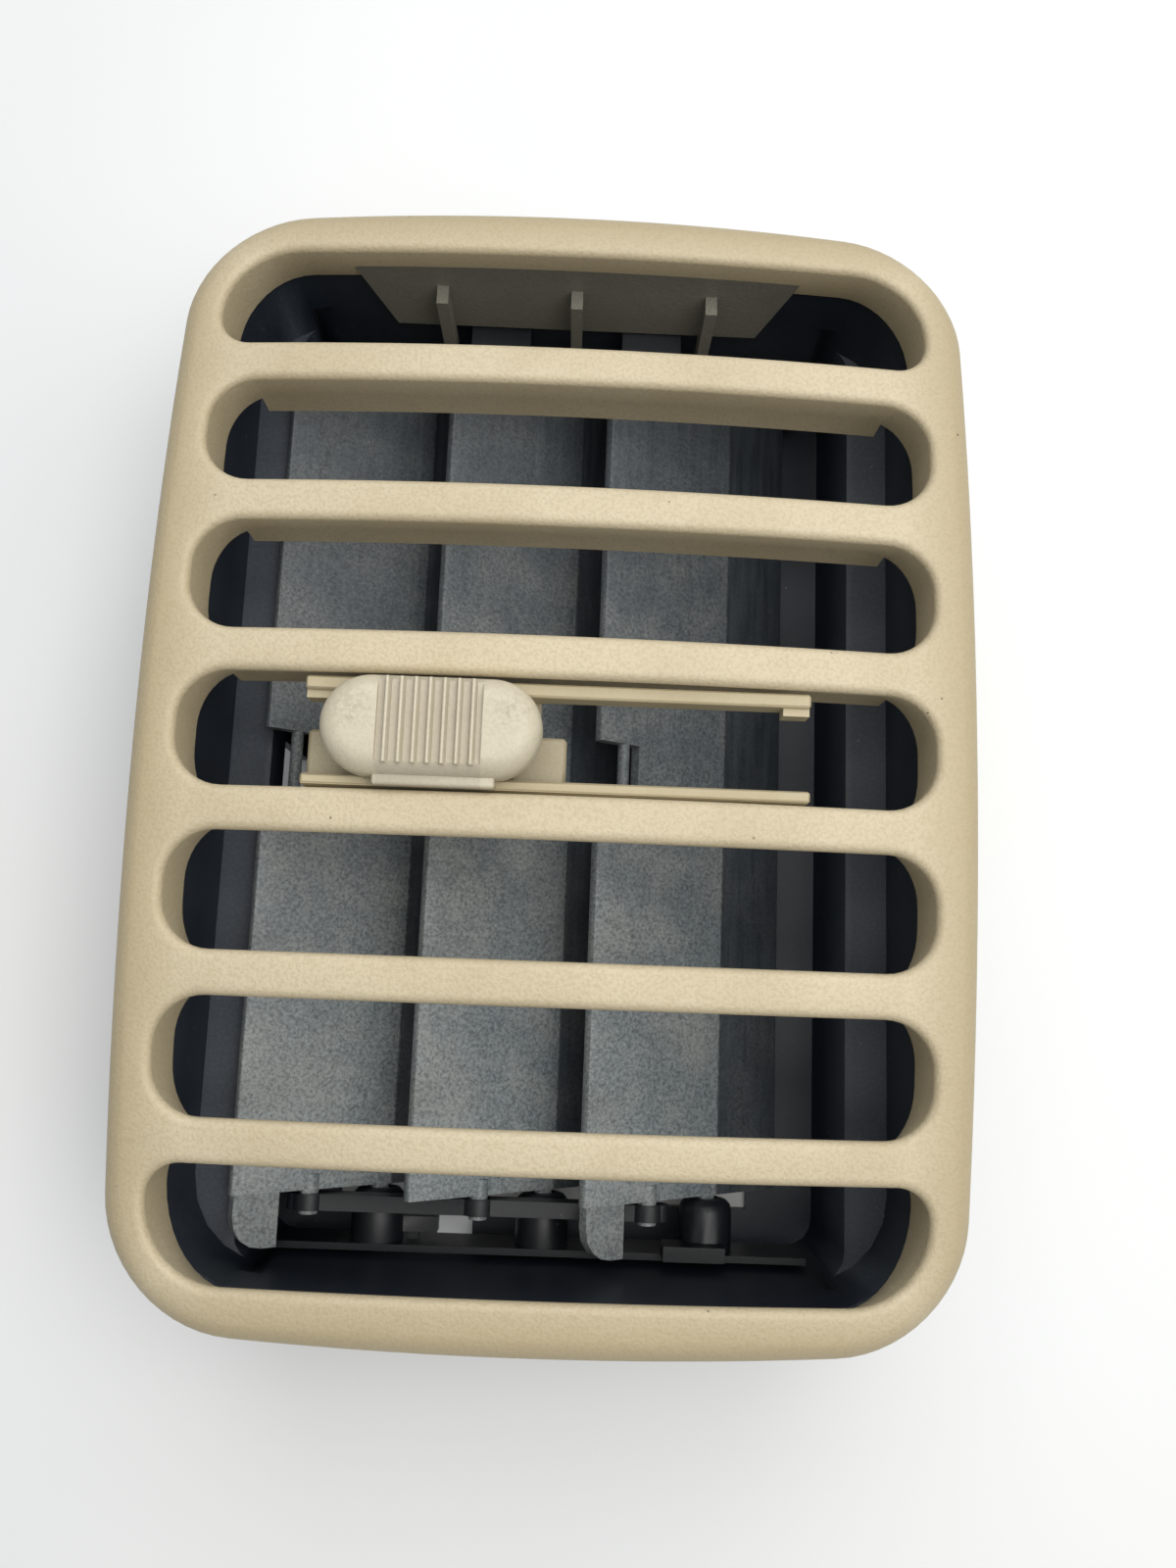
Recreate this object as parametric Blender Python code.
"""Louvred air grille: a moulded front with six fixed bars, a slider knob, and three linked vanes in a duct.

The part lies on its back. X runs across the face, Y up it and Z out of it; the rear rim is at Z = 0.
"""

import math

import bmesh
import bpy
from mathutils import Euler, Matrix, Vector

MM = 0.001

# Front frame, millimetres
DEPTH = 50.0
FACE_HALF_X = 47.75
FACE_HALF_Y = 66.05
FACE_BOW_X = 0.55
FACE_BOW_Y = 1.4
FACE_CORNER = 14.5
FACE_THICK = 8.0
FACE_EDGE_ROUND = 2.8
DOME_X = 3.11
DOME_Y = 5.76
DOME_CENTRE_Y = 2.5
SKIRT_BACK = 27.0
SKIRT_WALL = 1.9
SKIRT_INSET = 0.15

# Air slots and bars
SLOT_COUNT = 7
SLOT_PITCH = 18.1
SLOT_HALF_X = 42.9
SLOT_HALF_Y = 6.55
SLOT_CORNER = 5.6
SLOT_OUTER_CORNER = 8.8
SLOT_INNER_CORNER = 3.8
SLOT_EDGE_ROUND = 1.1
SLOT_TAPER_LOW = 2.4
SLOT_TAPER_HIGH = 1.6
BLADE_HALF_X = 39.0
BLADE_LOW = 1.2
BLADE_HIGH = 0.3
BLADE_BACK = 11.5

# Apron that guides air under the top rim
APRON_Y = (61.8, 62.85)
APRON_HALF_FRONT = 29.0
APRON_HALF_BACK = 24.6
APRON_Z = (26.0, 41.0)
APRON_RIB_Z = (20.8, 35.5)
APRON_RIB_X = 17.5
APRON_RIB_DROP = 2.5

# Black core: a wide front box, a ledge, then a narrower duct
CORE_HALF_X = 45.1
CORE_HALF_Y = 64.5
CORE_CORNER = 12.0
CORE_WALL = 1.3
DUCT_HALF_X = 39.7
LEDGE_Z = 22.0
DUCT_CORNER = 5.0
REAR_NOTCH = (-24.0, -10.0)
REAR_NOTCH_TOP = 6.0
REAR_LIP_HALF_X = 29.0
REAR_LIP_BOTTOM = -58.5
SIDE_SLOT_Y = (-6.5, 4.5)
SIDE_SLOT_TOP = 15.0
SIDE_SLOT_X = (-45.0, -38.0)

# Vanes
VANE_PITCH = 21.8
PIVOT_Z = 12.9
VANE_FRONT = 20.6
VANE_BACK = 12.2
VANE_THICK = 1.6
VANE_BOTTOM = -54.6
VANE_TOP = 58.2
VANE_REST_DEG = 55.0
BARREL_R = 1.3
PIVOT_PIN_R = 1.2
HOLE_R = 1.55
NOTCH_Y = (-6.5, 4.5)
SIDE_NOTCH_START = 14.2
MIDDLE_NOTCH_START = 8.2
FORK_PIN_AT = 16.2
FORK_PIN_R = 0.8
TONGUE_START = 14.3
TONGUE_BOTTOM = -61.2
TONGUE_ROUND = 4.0

# Link bar and the crank pins that it joins
CRANK_AT = 10.0
LINK_Y = (-57.0, -55.0)
LINK_HALF_Z = 1.4
LINK_OVERHANG = 2.7

# Pivot rails
RAIL_Z = (8.6, 16.4)
LOWER_RAIL_Y = (-62.5, -61.6)
POST_R = 3.5
POST_TOP = -54.95
LUG_X = -17.0
CLIP_X = (15.8, 23.8)
UPPER_RAIL_Y = (58.5, 62.5)
UPPER_CLIP_X = 10.4

# Slider knob
KNOB_X = -13.85
KNOB_HALF_X = 12.25
KNOB_Y = (-5.3, 5.9)
KNOB_Z = (48.4, 53.0)
RIDGE_COUNT = 7
RIDGE_PITCH = 1.72
RIDGE_HALF_Y = 4.9
LIP_HALF_X = 6.75
GUIDE_HALF_X = 28.5
GUIDE_UPPER_Y = (4.65, 6.25)
GUIDE_LOWER_Y = (-6.25, -4.85)
GUIDE_Z = (44.5, 47.8)
CARRIAGE_HALF_X = 11.8
CARRIAGE_Y = (-5.5, 5.1)
CARRIAGE_Z = (42.1, 43.9)
FORK_GAP = 1.55
FORK_PRONG = 1.1
FORK_Y = (-4.0, 1.0)
FORK_TIP_Z = 21.6

ROUND_STEPS = 24


def dome(x, y):
    """How far the face falls behind its crown at this place, in millimetres."""
    return -DOME_X * (x / 50.0) ** 2 - DOME_Y * ((y - DOME_CENTRE_Y) / 65.0) ** 2


def clear_scene():
    for old in list(bpy.data.objects):
        bpy.data.objects.remove(old, do_unlink=True)


def new_collection(name, helpers=False):
    made = bpy.data.collections.new(name)
    made.hide_render = helpers
    bpy.context.scene.collection.children.link(made)
    return made


def plastic(name, colour, roughness):
    made = bpy.data.materials.new(name)
    made.use_nodes = True
    shader = made.node_tree.nodes["Principled BSDF"]
    shader.inputs["Base Color"].default_value = (*colour, 1.0)
    shader.inputs["Roughness"].default_value = roughness
    shader.inputs["Metallic"].default_value = 0.0
    made.diffuse_color = (*colour, 1.0)
    return made


def object_from(bm, name, collection):
    """A new object from a bmesh drawn in millimetres, its normals made to face out."""
    bmesh.ops.recalc_face_normals(bm, faces=bm.faces)
    bmesh.ops.scale(bm, vec=Vector((MM, MM, MM)), verts=bm.verts)
    mesh = bpy.data.meshes.new(name)
    bm.to_mesh(mesh)
    bm.free()
    made = bpy.data.objects.new(name, mesh)
    collection.objects.link(made)
    if collection.hide_render:
        made.hide_render = True
        made.display_type = "WIRE"
    return made


def box_mesh(low, high):
    """A block between two opposite corners."""
    bm = bmesh.new()
    bmesh.ops.create_cube(bm, size=1.0)
    size = Vector(high) - Vector(low)
    centre = (Vector(high) + Vector(low)) / 2
    bmesh.ops.scale(bm, vec=size, verts=bm.verts)
    bmesh.ops.translate(bm, vec=centre, verts=bm.verts)
    return bm


def box(name, low, high, collection):
    return object_from(box_mesh(low, high), name, collection)


def round_edges(bm, edges, radius, segments):
    bmesh.ops.bevel(
        bm, geom=edges, offset=radius, segments=segments, profile=0.5, affect="EDGES", material=-1
    )


def rounded_box(name, low, high, rounding, collection, segments=2):
    bm = box_mesh(low, high)
    round_edges(bm, bm.edges[:], rounding, segments)
    return object_from(bm, name, collection)


def cylinder(name, axis, centre, radius, low, high, collection, steps=ROUND_STEPS):
    """A closed cylinder along an axis, from low to high; centre is its place on the other two axes."""
    bm = bmesh.new()
    bmesh.ops.create_cone(
        bm, cap_ends=True, segments=steps, radius1=radius, radius2=radius, depth=high - low
    )
    middle = (low + high) / 2
    if axis == "Y":
        bmesh.ops.rotate(bm, matrix=Matrix.Rotation(math.pi / 2, 3, "X"), verts=bm.verts)
        bmesh.ops.translate(bm, vec=Vector((centre[0], middle, centre[1])), verts=bm.verts)
    else:
        bmesh.ops.translate(bm, vec=Vector((centre[0], centre[1], middle)), verts=bm.verts)
    return object_from(bm, name, collection)


def outline_points(half_x, half_y, corners, steps=6, straight=4):
    """A rounded rectangle, anticlockwise; corners holds the lower and the upper radius."""
    lower, upper = corners
    places = (
        (half_x - lower, -half_y + lower, lower, -90.0),
        (half_x - upper, half_y - upper, upper, 0.0),
        (-half_x + upper, half_y - upper, upper, 90.0),
        (-half_x + lower, -half_y + lower, lower, 180.0),
    )
    arcs = []
    for x, y, radius, start in places:
        arc = []
        for i in range(steps + 1):
            angle = math.radians(start + 90.0 * i / steps)
            arc.append(Vector((x + radius * math.cos(angle), y + radius * math.sin(angle), 0.0)))
        arcs.append(arc)
    points = []
    for arc, following in zip(arcs, arcs[1:] + arcs[:1]):
        points.extend(arc)
        for i in range(1, straight):
            points.append(arc[-1].lerp(following[0], i / straight))
    return points


def stadium_points(half_x, radius, steps=12):
    """A pill outline: two half circles joined by straight sides."""
    points = []
    for side in (1, -1):
        for i in range(steps + 1):
            angle = math.radians(-90.0 + 180.0 * i / steps)
            x = side * (half_x - radius + radius * math.cos(angle))
            points.append(Vector((x, side * radius * math.sin(angle), 0.0)))
    return points


def prism_mesh(points, low, high):
    """A closed prism that stands on the outline, from low to high along Z."""
    bm = bmesh.new()
    ring = [bm.verts.new((p.x, p.y, low)) for p in points]
    base = bm.faces.new(ring)
    grown = bmesh.ops.extrude_face_region(bm, geom=[base])
    top = [v for v in grown["geom"] if isinstance(v, bmesh.types.BMVert)]
    bmesh.ops.translate(bm, vec=Vector((0.0, 0.0, high - low)), verts=top)
    bmesh.ops.recalc_face_normals(bm, faces=bm.faces)
    return bm


def bowed(points, half_x, half_y, bow_x, bow_y):
    """The outline with each side swelling outwards a little at its middle."""
    made = []
    for p in points:
        across = p.x / half_x
        up = p.y / half_y
        x = p.x + bow_x * across * (1.0 - min(1.0, up * up))
        y = p.y + bow_y * up * (1.0 - min(1.0, across * across))
        made.append(Vector((x, y, 0.0)))
    return made


def slice_mesh(bm, xs, ys):
    """Cuts every face along planes of constant X and of constant Y, so that it can bend."""
    for value in xs:
        geom = bm.verts[:] + bm.edges[:] + bm.faces[:]
        bmesh.ops.bisect_plane(bm, geom=geom, dist=1e-5, plane_co=(value, 0, 0), plane_no=(1, 0, 0))
    for value in ys:
        geom = bm.verts[:] + bm.edges[:] + bm.faces[:]
        bmesh.ops.bisect_plane(bm, geom=geom, dist=1e-5, plane_co=(0, value, 0), plane_no=(0, 1, 0))


def combine(target, others, operation):
    """Applies one exact Boolean per object, then drops the objects it used."""
    for other in others:
        modifier = target.modifiers.new(other.name, "BOOLEAN")
        modifier.operation = operation
        modifier.solver = "EXACT"
        modifier.object = other
        graph = bpy.context.evaluated_depsgraph_get()
        mesh = bpy.data.meshes.new_from_object(target.evaluated_get(graph))
        target.modifiers.clear()
        old = target.data
        target.data = mesh
        bpy.data.meshes.remove(old)
        bpy.data.objects.remove(other, do_unlink=True)


def finish(target, material, sharp_deg=35.0):
    """Tidies the mesh, gives it its material and shades it smooth with sharp edges kept."""
    bm = bmesh.new()
    bm.from_mesh(target.data)
    bmesh.ops.remove_doubles(bm, verts=bm.verts, dist=2e-6)
    bmesh.ops.dissolve_degenerate(bm, edges=bm.edges, dist=2e-6)
    bmesh.ops.recalc_face_normals(bm, faces=bm.faces)
    bm.to_mesh(target.data)
    bm.free()
    target.data.materials.clear()
    target.data.materials.append(material)
    target.data.shade_smooth()
    target.data.set_sharp_from_angle(angle=math.radians(sharp_deg))


def spread(low, high, count):
    """Evenly spaced numbers from low to high, both included."""
    return [low + (high - low) * i / (count - 1) for i in range(count)]


def slot_cutter(index, collection):
    """The through cutter of one air slot. The first and last slots follow the big corners of the rim."""
    radii = (SLOT_CORNER, SLOT_CORNER)
    if index == SLOT_COUNT - 1:
        radii = (SLOT_INNER_CORNER, SLOT_OUTER_CORNER)
    if index == 0:
        radii = (SLOT_OUTER_CORNER, SLOT_INNER_CORNER)
    points = outline_points(SLOT_HALF_X, SLOT_HALF_Y, radii, steps=5, straight=1)
    bm = prism_mesh(points, DEPTH - 30.0, DEPTH + 10.0)
    centre_y = (index - (SLOT_COUNT - 1) / 2) * SLOT_PITCH
    bmesh.ops.translate(bm, vec=Vector((0.0, centre_y, 0.0)), verts=bm.verts)
    return object_from(bm, f"slot_cutter_{index}", collection)


def taper_at(x, y):
    """How far a slot's back edge moves along Y here, so that the bars thin towards their backs."""
    above = y - round(y / SLOT_PITCH) * SLOT_PITCH
    if abs(x) > SLOT_HALF_X + 0.01 or abs(above) > SLOT_HALF_Y + 0.01:
        return 0.0
    taper = SLOT_TAPER_HIGH if above > 0.0 else SLOT_TAPER_LOW
    return taper * above / SLOT_HALF_Y


def make_face(collection, helpers):
    """The face plate: rounded outer edge, seven slots with softened edges, then bent to the dome."""
    points = outline_points(FACE_HALF_X, FACE_HALF_Y, (FACE_CORNER, FACE_CORNER), steps=7, straight=6)
    points = bowed(points, FACE_HALF_X, FACE_HALF_Y, FACE_BOW_X, FACE_BOW_Y)
    bm = prism_mesh(points, DEPTH - FACE_THICK, DEPTH)
    rim = [e for e in bm.edges if all(v.co.z > DEPTH - 0.01 for v in e.verts)]
    round_edges(bm, rim, FACE_EDGE_ROUND, 4)
    face = object_from(bm, "grille_frame", collection)
    cutters = [slot_cutter(i, helpers) for i in range(SLOT_COUNT)]
    combine(face, cutters, "DIFFERENCE")
    bm = bmesh.new()
    bm.from_mesh(face.data)
    bmesh.ops.scale(bm, vec=Vector((1 / MM, 1 / MM, 1 / MM)), verts=bm.verts)
    bmesh.ops.remove_doubles(bm, verts=bm.verts, dist=0.002)
    edges = []
    for edge in bm.edges:
        on_top = all(v.co.z > DEPTH - 0.01 for v in edge.verts)
        upright = any(abs(f.normal.z) < 0.3 for f in edge.link_faces)
        if on_top and upright:
            edges.append(edge)
    round_edges(bm, edges, SLOT_EDGE_ROUND, 3)
    slice_mesh(bm, spread(-42.0, 42.0, 9), [(i - 2.5) * SLOT_PITCH for i in range(6)])
    for vert in bm.verts:
        if vert.co.z < DEPTH - FACE_THICK + 0.01:
            vert.co.y += taper_at(vert.co.x, vert.co.y)
        vert.co.z += dome(vert.co.x, vert.co.y)
    bmesh.ops.triangulate(bm, faces=bm.faces)
    bmesh.ops.scale(bm, vec=Vector((MM, MM, MM)), verts=bm.verts)
    bm.to_mesh(face.data)
    bm.free()
    return face


def make_skirt(helpers):
    """The wall round the rim that runs back over the core."""
    half_x = FACE_HALF_X - SKIRT_INSET
    half_y = FACE_HALF_Y - SKIRT_INSET
    outer = outline_points(half_x, half_y, (FACE_CORNER, FACE_CORNER), steps=7, straight=6)
    outer = bowed(outer, half_x, half_y, FACE_BOW_X, FACE_BOW_Y)
    inner_x = half_x - SKIRT_WALL
    inner_y = half_y - SKIRT_WALL + FACE_BOW_Y * 0.6
    corner = FACE_CORNER - SKIRT_WALL
    inner = outline_points(inner_x, inner_y, (corner, corner), steps=7, straight=6)
    bm = prism_mesh(outer, DEPTH - SKIRT_BACK, DEPTH - 5.8)
    for vert in bm.verts:
        if vert.co.z > DEPTH - 10.0:
            vert.co.z += dome(vert.co.x, vert.co.y)
    skirt = object_from(bm, "skirt", helpers)
    hollow = object_from(prism_mesh(inner, DEPTH - 60.0, DEPTH + 20.0), "skirt_hollow", helpers)
    combine(skirt, [hollow], "DIFFERENCE")
    return skirt


def make_blade(index, helpers):
    """The thin fin that runs back from one bar and stops short of the rim."""
    centre_y = (index - 2.5) * SLOT_PITCH
    bm = box_mesh(
        (-BLADE_HALF_X, centre_y - BLADE_LOW, DEPTH - BLADE_BACK),
        (BLADE_HALF_X, centre_y + BLADE_HIGH, DEPTH - 5.0),
    )
    slice_mesh(bm, spread(-29.0, 29.0, 6), [])
    for vert in bm.verts:
        vert.co.z += dome(vert.co.x, vert.co.y)
    return object_from(bm, f"blade_{index}", helpers)


def make_apron(helpers):
    """The tapering tray under the top rim, with three ribs on its underside that run on past it."""
    bm = box_mesh((-1, APRON_Y[0], APRON_Z[0]), (1, APRON_Y[1], APRON_Z[1]))
    for vert in bm.verts:
        half = APRON_HALF_FRONT if vert.co.z > APRON_Z[0] + 1.0 else APRON_HALF_BACK
        vert.co.x *= half
    pieces = [object_from(bm, "apron", helpers)]
    for i in (-1, 0, 1):
        low = (i * APRON_RIB_X - 0.75, APRON_Y[0] - APRON_RIB_DROP, APRON_RIB_Z[0])
        high = (i * APRON_RIB_X + 0.75, APRON_Y[0] + 0.5, APRON_RIB_Z[1])
        pieces.append(box(f"apron_rib_{i}", low, high, helpers))
    return pieces


def make_frame(collection, helpers, material):
    """The whole front moulding: face plate, skirt, fins behind the bars and the tray under the top rim."""
    face = make_face(collection, helpers)
    extras = [make_skirt(helpers)]
    extras += [make_blade(i, helpers) for i in range(SLOT_COUNT - 1)]
    extras += make_apron(helpers)
    combine(face, extras, "UNION")
    finish(face, material)
    return face


def make_core(collection, helpers, material):
    """Front box, ledge and rear duct in one moulding.

    Lips narrow the rear mouth, and a slot in the left side is open to the rear rim.
    """
    front_z = DEPTH - FACE_THICK - 0.35
    outer = outline_points(CORE_HALF_X, CORE_HALF_Y, (CORE_CORNER, CORE_CORNER), steps=5, straight=6)
    core = object_from(prism_mesh(outer, LEDGE_Z - CORE_WALL, front_z), "core_duct", collection)
    duct = outline_points(DUCT_HALF_X, CORE_HALF_Y, (DUCT_CORNER, DUCT_CORNER), steps=4, straight=1)
    rear = object_from(prism_mesh(duct, 0.0, LEDGE_Z - 0.5), "duct_outer", helpers)
    combine(core, [rear], "UNION")
    corner = CORE_CORNER - CORE_WALL
    half_y = CORE_HALF_Y - CORE_WALL
    box_inner = outline_points(CORE_HALF_X - CORE_WALL, half_y, (corner, corner), steps=5, straight=6)
    corner = DUCT_CORNER - CORE_WALL
    duct_inner = outline_points(DUCT_HALF_X - CORE_WALL, half_y, (corner, corner), steps=4, straight=1)
    cutters = [
        object_from(prism_mesh(box_inner, LEDGE_Z, DEPTH + 5.0), "box_hollow", helpers),
        object_from(prism_mesh(duct_inner, CORE_WALL, LEDGE_Z + 5.0), "duct_hollow", helpers),
    ]
    low = (-REAR_LIP_HALF_X, REAR_LIP_BOTTOM, -3.0)
    high = (REAR_LIP_HALF_X, half_y, 4.0)
    cutters.append(box("mouth_cutter", low, high, helpers))
    low = (REAR_NOTCH[0], -CORE_HALF_Y - 2.0, -3.0)
    high = (REAR_NOTCH[1], REAR_LIP_BOTTOM + 1.0, REAR_NOTCH_TOP)
    cutters.append(box("rear_notch_cutter", low, high, helpers))
    low = (SIDE_SLOT_X[0], SIDE_SLOT_Y[0], -3.0)
    high = (SIDE_SLOT_X[1], SIDE_SLOT_Y[1], SIDE_SLOT_TOP)
    cutters.append(box("side_slot_cutter", low, high, helpers))
    combine(core, cutters, "DIFFERENCE")
    for vert in core.data.vertices:
        if vert.co.z > (front_z - 0.1) * MM:
            vert.co.z += dome(vert.co.x / MM, vert.co.y / MM) * MM
    finish(core, material)
    return core


def make_lower_rail(collection, helpers, material):
    """A strip on the duct floor with three round-topped pivot posts, a T-shaped lug and a clip block."""
    half_x = DUCT_HALF_X - DUCT_CORNER
    rail = box(
        "pivot_rail_lower",
        (-half_x, LOWER_RAIL_Y[0], RAIL_Z[0]),
        (half_x, LOWER_RAIL_Y[1], RAIL_Z[1]),
        collection,
    )
    posts = []
    holes = []
    for i in (-1, 0, 1):
        x = i * VANE_PITCH
        bm = bmesh.new()
        height = POST_TOP - LOWER_RAIL_Y[0] - 0.4
        bmesh.ops.create_cone(
            bm, cap_ends=True, segments=ROUND_STEPS, radius1=POST_R, radius2=POST_R, depth=height
        )
        top = [e for e in bm.edges if all(v.co.z > 0 for v in e.verts)]
        round_edges(bm, top, 1.5, 3)
        bmesh.ops.rotate(bm, matrix=Matrix.Rotation(-math.pi / 2, 3, "X"), verts=bm.verts)
        bmesh.ops.translate(bm, vec=Vector((x, POST_TOP - height / 2, PIVOT_Z)), verts=bm.verts)
        posts.append(object_from(bm, f"post_{i}", helpers))
        centre = (x, PIVOT_Z)
        low = POST_TOP - 3.4
        holes.append(cylinder(f"post_hole_{i}", "Y", centre, HOLE_R, low, POST_TOP + 3.0, helpers, 16))
    low = (LUG_X - 0.7, LOWER_RAIL_Y[1] - 0.5, 11.4)
    high = (LUG_X + 0.7, -59.8, 13.0)
    posts.append(box("lug_stem", low, high, helpers))
    low = (LUG_X - 3.2, -60.6, 11.0)
    high = (LUG_X + 3.2, -58.6, 13.4)
    posts.append(box("lug_head", low, high, helpers))
    low = (CLIP_X[0], LOWER_RAIL_Y[1] - 0.5, RAIL_Z[1] - 2.0)
    high = (CLIP_X[1], LOWER_RAIL_Y[1] + 1.4, RAIL_Z[1] + 2.4)
    posts.append(box("clip_block", low, high, helpers))
    combine(rail, posts, "UNION")
    combine(rail, holes, "DIFFERENCE")
    finish(rail, material)
    return rail


def make_upper_rail(collection, helpers, material):
    """The bar above the vanes that holds their top pins, with two clip blocks towards the front."""
    half_x = DUCT_HALF_X - DUCT_CORNER
    rail = box(
        "pivot_rail_upper",
        (-half_x, UPPER_RAIL_Y[0], RAIL_Z[0]),
        (half_x, UPPER_RAIL_Y[1], RAIL_Z[1]),
        collection,
    )
    extras = []
    for i in (-1, 1):
        x = i * UPPER_CLIP_X
        low = (x - 4.1, UPPER_RAIL_Y[0] + 0.3, RAIL_Z[1] - 0.6)
        high = (x + 4.1, UPPER_RAIL_Y[1] - 0.2, APRON_Z[0] - 0.5)
        extras.append(box(f"top_block_{i}", low, high, helpers))
    combine(rail, extras, "UNION")
    holes = []
    for i in (-1, 0, 1):
        centre = (i * VANE_PITCH, PIVOT_Z)
        low = UPPER_RAIL_Y[0] - 3.0
        holes.append(
            cylinder(f"rail_hole_{i}", "Y", centre, HOLE_R, low, UPPER_RAIL_Y[0] + 2.4, helpers, 16)
        )
    combine(rail, holes, "DIFFERENCE")
    finish(rail, material)
    return rail


def make_vane(name, index, collection, helpers, material):
    """One vane, drawn pointing straight out with its pivot on the object's origin, then turned."""
    half = VANE_THICK / 2
    bm = box_mesh((-half, VANE_BOTTOM, -VANE_BACK), (half, VANE_TOP, VANE_FRONT))
    long_edges = [
        e for e in bm.edges if abs(e.verts[0].co.y - e.verts[1].co.y) > 50.0
    ]
    round_edges(bm, long_edges, 0.45, 2)
    vane = object_from(bm, name, collection)
    notch_start = MIDDLE_NOTCH_START if index == 0 else SIDE_NOTCH_START
    high = (5.0, NOTCH_Y[1], VANE_FRONT + 3.0)
    notch = box(f"notch_{index}", (-5.0, NOTCH_Y[0], notch_start), high, helpers)
    combine(vane, [notch], "DIFFERENCE")
    rods = {
        "barrel": (0.0, BARREL_R, VANE_BOTTOM + 0.02, VANE_TOP - 0.02),
        "pivot_pin": (0.0, PIVOT_PIN_R, VANE_BOTTOM - 3.2, VANE_TOP + 2.2),
        "crank_pin": (CRANK_AT, PIVOT_PIN_R, LINK_Y[0] - 0.6, VANE_BOTTOM + 2.0),
        "fork_pin": (FORK_PIN_AT, FORK_PIN_R, NOTCH_Y[0] - 0.8, NOTCH_Y[1] + 0.8),
    }
    extras = []
    for label, (forward, radius, low, high) in rods.items():
        centre = (0.0, forward)
        extras.append(cylinder(f"{label}_{index}", "Y", centre, radius, low, high, helpers, 16))
    if index != 0:
        low = (-half + 0.05, TONGUE_BOTTOM, TONGUE_START)
        high = (half - 0.05, VANE_BOTTOM + 1.0, VANE_FRONT - 0.4)
        bm = box_mesh(low, high)
        corner = []
        for edge in bm.edges:
            if all(v.co.y < TONGUE_BOTTOM + 0.1 and v.co.z > VANE_FRONT - 1.0 for v in edge.verts):
                corner.append(edge)
        round_edges(bm, corner, TONGUE_ROUND, 4)
        extras.append(object_from(bm, f"tongue_{index}", helpers))
    combine(vane, extras, "UNION")
    finish(vane, material)
    vane.location = Vector((index * VANE_PITCH, 0.0, PIVOT_Z)) * MM
    vane.rotation_euler = Euler((0.0, -math.radians(VANE_REST_DEG), 0.0))
    return vane


def make_link(collection, helpers, material):
    """The bar that ties the three crank pins together. Its origin is on the middle crank pin."""
    half_x = VANE_PITCH + LINK_OVERHANG
    bm = box_mesh((-half_x, LINK_Y[0], -LINK_HALF_Z), (half_x, LINK_Y[1], LINK_HALF_Z))
    ends = [e for e in bm.edges if abs(e.verts[0].co.y - e.verts[1].co.y) > 1.0]
    round_edges(bm, ends, 1.1, 3)
    link = object_from(bm, "link_bar", collection)
    bosses = []
    holes = []
    for i in (-1, 0, 1):
        x = i * VANE_PITCH
        low, high = LINK_Y
        bosses.append(cylinder(f"link_boss_{i}", "Y", (x, 0), 2.2, low + 0.02, high - 0.02, helpers, 16))
        holes.append(cylinder(f"link_hole_{i}", "Y", (x, 0), HOLE_R, low - 2, high + 2, helpers, 16))
    combine(link, bosses, "UNION")
    combine(link, holes, "DIFFERENCE")
    finish(link, material)
    rest = math.radians(VANE_REST_DEG)
    x = -CRANK_AT * math.sin(rest)
    z = PIVOT_Z + CRANK_AT * math.cos(rest)
    link.location = Vector((x, 0.0, z)) * MM
    return link


def make_guide(name, span_y, feet, collection, helpers, material):
    """One of the two rails that the knob slides on; the upper one has a small foot under each end."""
    low = (-GUIDE_HALF_X, span_y[0], GUIDE_Z[0])
    high = (GUIDE_HALF_X, span_y[1], GUIDE_Z[1])
    guide = rounded_box(name, low, high, 0.25, collection, 1)
    pieces = []
    if feet:
        for i in (-1, 1):
            x = i * (GUIDE_HALF_X - 1.6)
            low = (x - 1.5, span_y[0] - 0.9, GUIDE_Z[0] + 0.3)
            high = (x + 1.5, span_y[0] + 0.5, GUIDE_Z[1] - 0.6)
            pieces.append(box(f"guide_foot_{i}", low, high, helpers))
    combine(guide, pieces, "UNION")
    finish(guide, material)
    return guide


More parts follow.
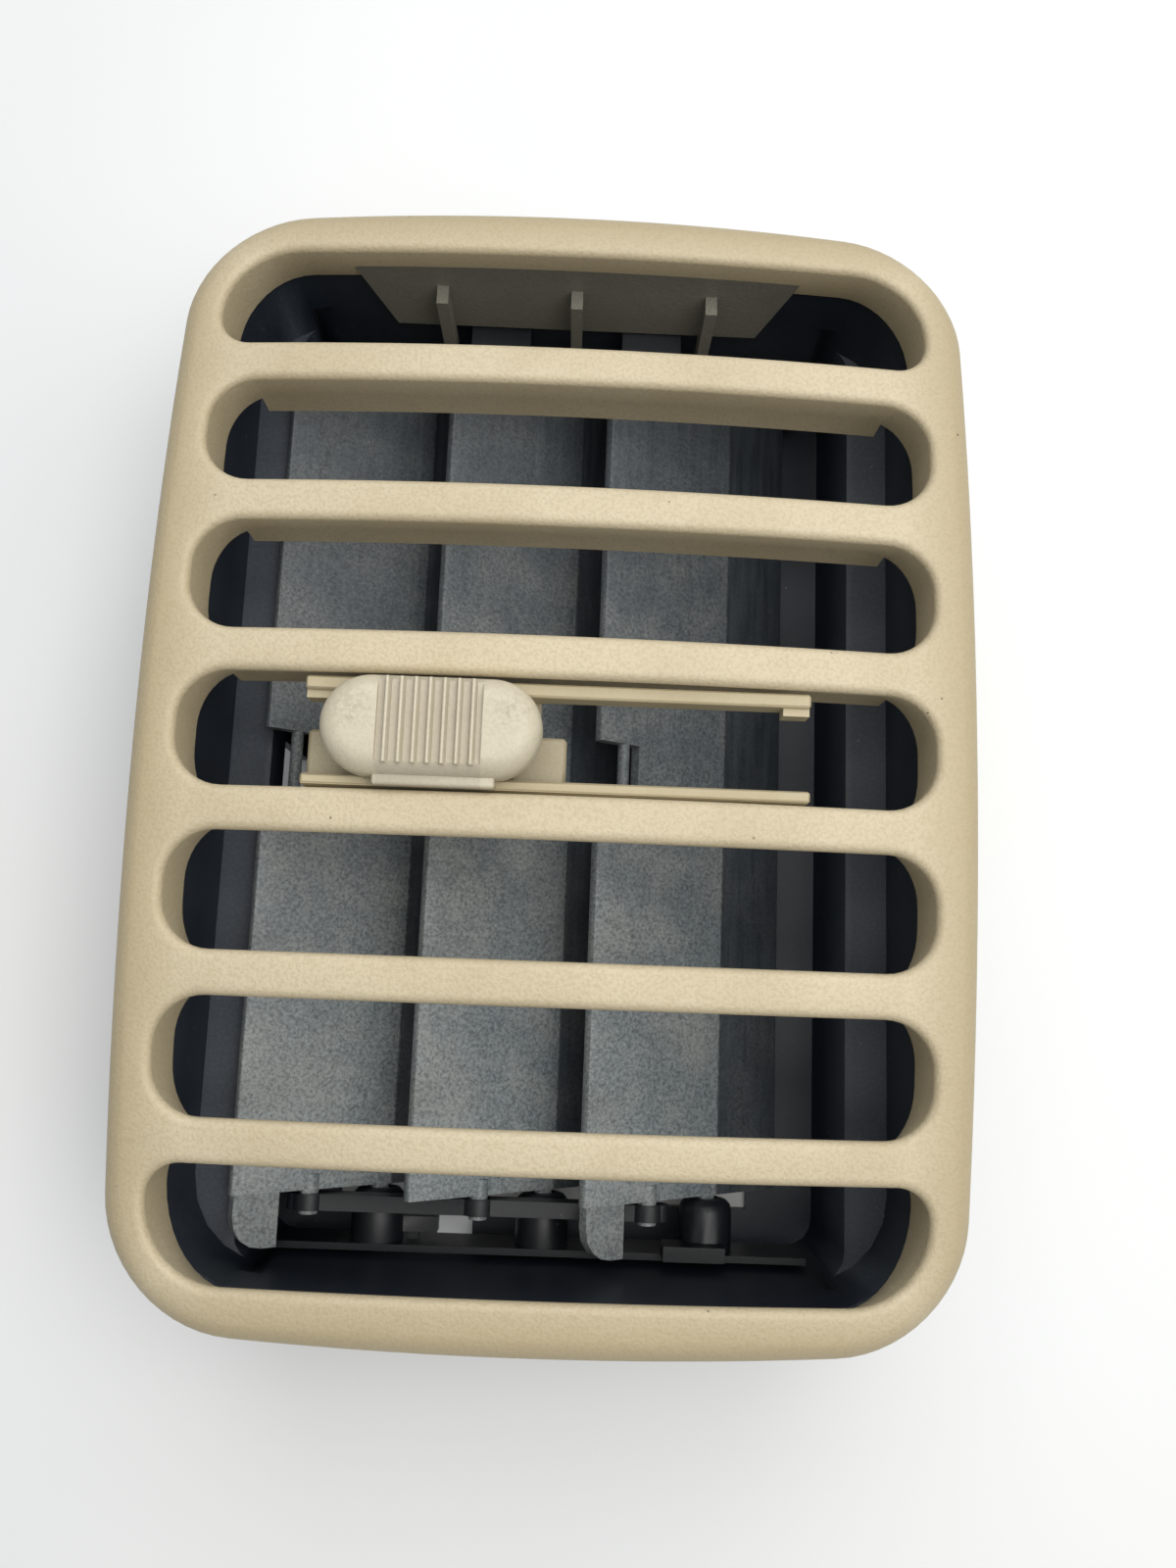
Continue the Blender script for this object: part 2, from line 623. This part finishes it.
def make_knob(collection, helpers, material):
    """The pill that a fingertip moves: domed ends, a ribbed middle, a lip below and a stem behind."""
    half_y = (KNOB_Y[1] - KNOB_Y[0]) / 2
    centre_y = (KNOB_Y[1] + KNOB_Y[0]) / 2
    points = stadium_points(KNOB_HALF_X, half_y)
    bm = prism_mesh(points, KNOB_Z[0], KNOB_Z[1] - 0.5)
    rim = [e for e in bm.edges if all(v.co.z > KNOB_Z[1] - 0.6 for v in e.verts)]
    round_edges(bm, rim, 2.2, 4)
    bmesh.ops.translate(bm, vec=Vector((0.0, centre_y, 0.0)), verts=bm.verts)
    knob = object_from(bm, "knob_cap", collection)
    extras = []
    for i in range(RIDGE_COUNT):
        x = (i - (RIDGE_COUNT - 1) / 2) * RIDGE_PITCH
        low = (x - 0.42, centre_y - RIDGE_HALF_Y, KNOB_Z[0] + 1.2)
        high = (x + 0.42, centre_y + RIDGE_HALF_Y, KNOB_Z[1])
        bm = box_mesh(low, high)
        ridge_tops = [e for e in bm.edges if all(v.co.z > KNOB_Z[1] - 0.1 for v in e.verts)]
        round_edges(bm, ridge_tops, 0.35, 1)
        extras.append(object_from(bm, f"ridge_{i}", helpers))
    low = (-LIP_HALF_X, -6.3, KNOB_Z[0] + 0.1)
    high = (LIP_HALF_X, -4.2, KNOB_Z[0] + 2.2)
    extras.append(rounded_box("lip", low, high, 0.3, helpers, 1))
    extras.append(box("stem", (-9.0, -4.2, CARRIAGE_Z[1] + 0.3), (9.0, 4.1, KNOB_Z[0] + 0.6), helpers))
    combine(knob, extras, "UNION")
    finish(knob, material)
    knob.location = Vector((KNOB_X, 0.0, 0.0)) * MM
    return knob


def make_carriage(collection, helpers, material):
    """The plate behind the guide rails, with end blocks and the fork that turns the middle vane."""
    carriage = box(
        "slider_carriage",
        (-CARRIAGE_HALF_X, CARRIAGE_Y[0], CARRIAGE_Z[0]),
        (CARRIAGE_HALF_X, CARRIAGE_Y[1], CARRIAGE_Z[1]),
        collection,
    )
    extras = []
    for i in (-1, 1):
        x = i * (CARRIAGE_HALF_X + 1.0)
        low = (x - 2.1, -5.3, CARRIAGE_Z[0] - 1.5)
        high = (x + 2.1, 0.9, CARRIAGE_Z[1] - 0.3)
        extras.append(rounded_box(f"end_block_{i}", low, high, 0.4, helpers, 1))
        inner = i * FORK_GAP
        outer = i * (FORK_GAP + FORK_PRONG)
        low = (min(inner, outer), FORK_Y[0], FORK_TIP_Z)
        high = (max(inner, outer), FORK_Y[1], CARRIAGE_Z[0] + 0.5)
        extras.append(box(f"prong_{i}", low, high, helpers))
    low = (-FORK_GAP - FORK_PRONG, FORK_Y[0] + 0.01, 33.0)
    high = (FORK_GAP + FORK_PRONG, FORK_Y[1] - 0.01, CARRIAGE_Z[0] + 0.5)
    extras.append(box("fork_root", low, high, helpers))
    combine(carriage, extras, "UNION")
    finish(carriage, material)
    carriage.location = Vector((KNOB_X, 0.0, 0.0)) * MM
    return carriage


def main():
    clear_scene()
    parts = new_collection("louvred_air_grille")
    helpers = new_collection("cutters", helpers=True)
    beige = plastic("frame_beige_abs", (0.56, 0.50, 0.40), 0.55)
    knob_beige = plastic("knob_warm_grey_abs", (0.60, 0.55, 0.47), 0.5)
    guide_ivory = plastic("guide_ivory_acetal", (0.62, 0.54, 0.41), 0.45)
    core_black = plastic("core_black_pp", (0.02, 0.022, 0.026), 0.5)
    vane_black = plastic("vane_black_abs", (0.035, 0.038, 0.042), 0.5)
    rail_black = plastic("rail_black_acetal", (0.015, 0.016, 0.018), 0.4)
    make_frame(parts, helpers, beige)
    make_core(parts, helpers, core_black)
    make_lower_rail(parts, helpers, rail_black)
    make_upper_rail(parts, helpers, rail_black)
    make_vane("vane_left", -1, parts, helpers, vane_black)
    make_vane("vane_middle", 0, parts, helpers, vane_black)
    make_vane("vane_right", 1, parts, helpers, vane_black)
    make_link(parts, helpers, rail_black)
    make_guide("guide_rail_upper", GUIDE_UPPER_Y, True, parts, helpers, guide_ivory)
    make_guide("guide_rail_lower", GUIDE_LOWER_Y, False, parts, helpers, guide_ivory)
    make_knob(parts, helpers, knob_beige)
    make_carriage(parts, helpers, knob_beige)


main()
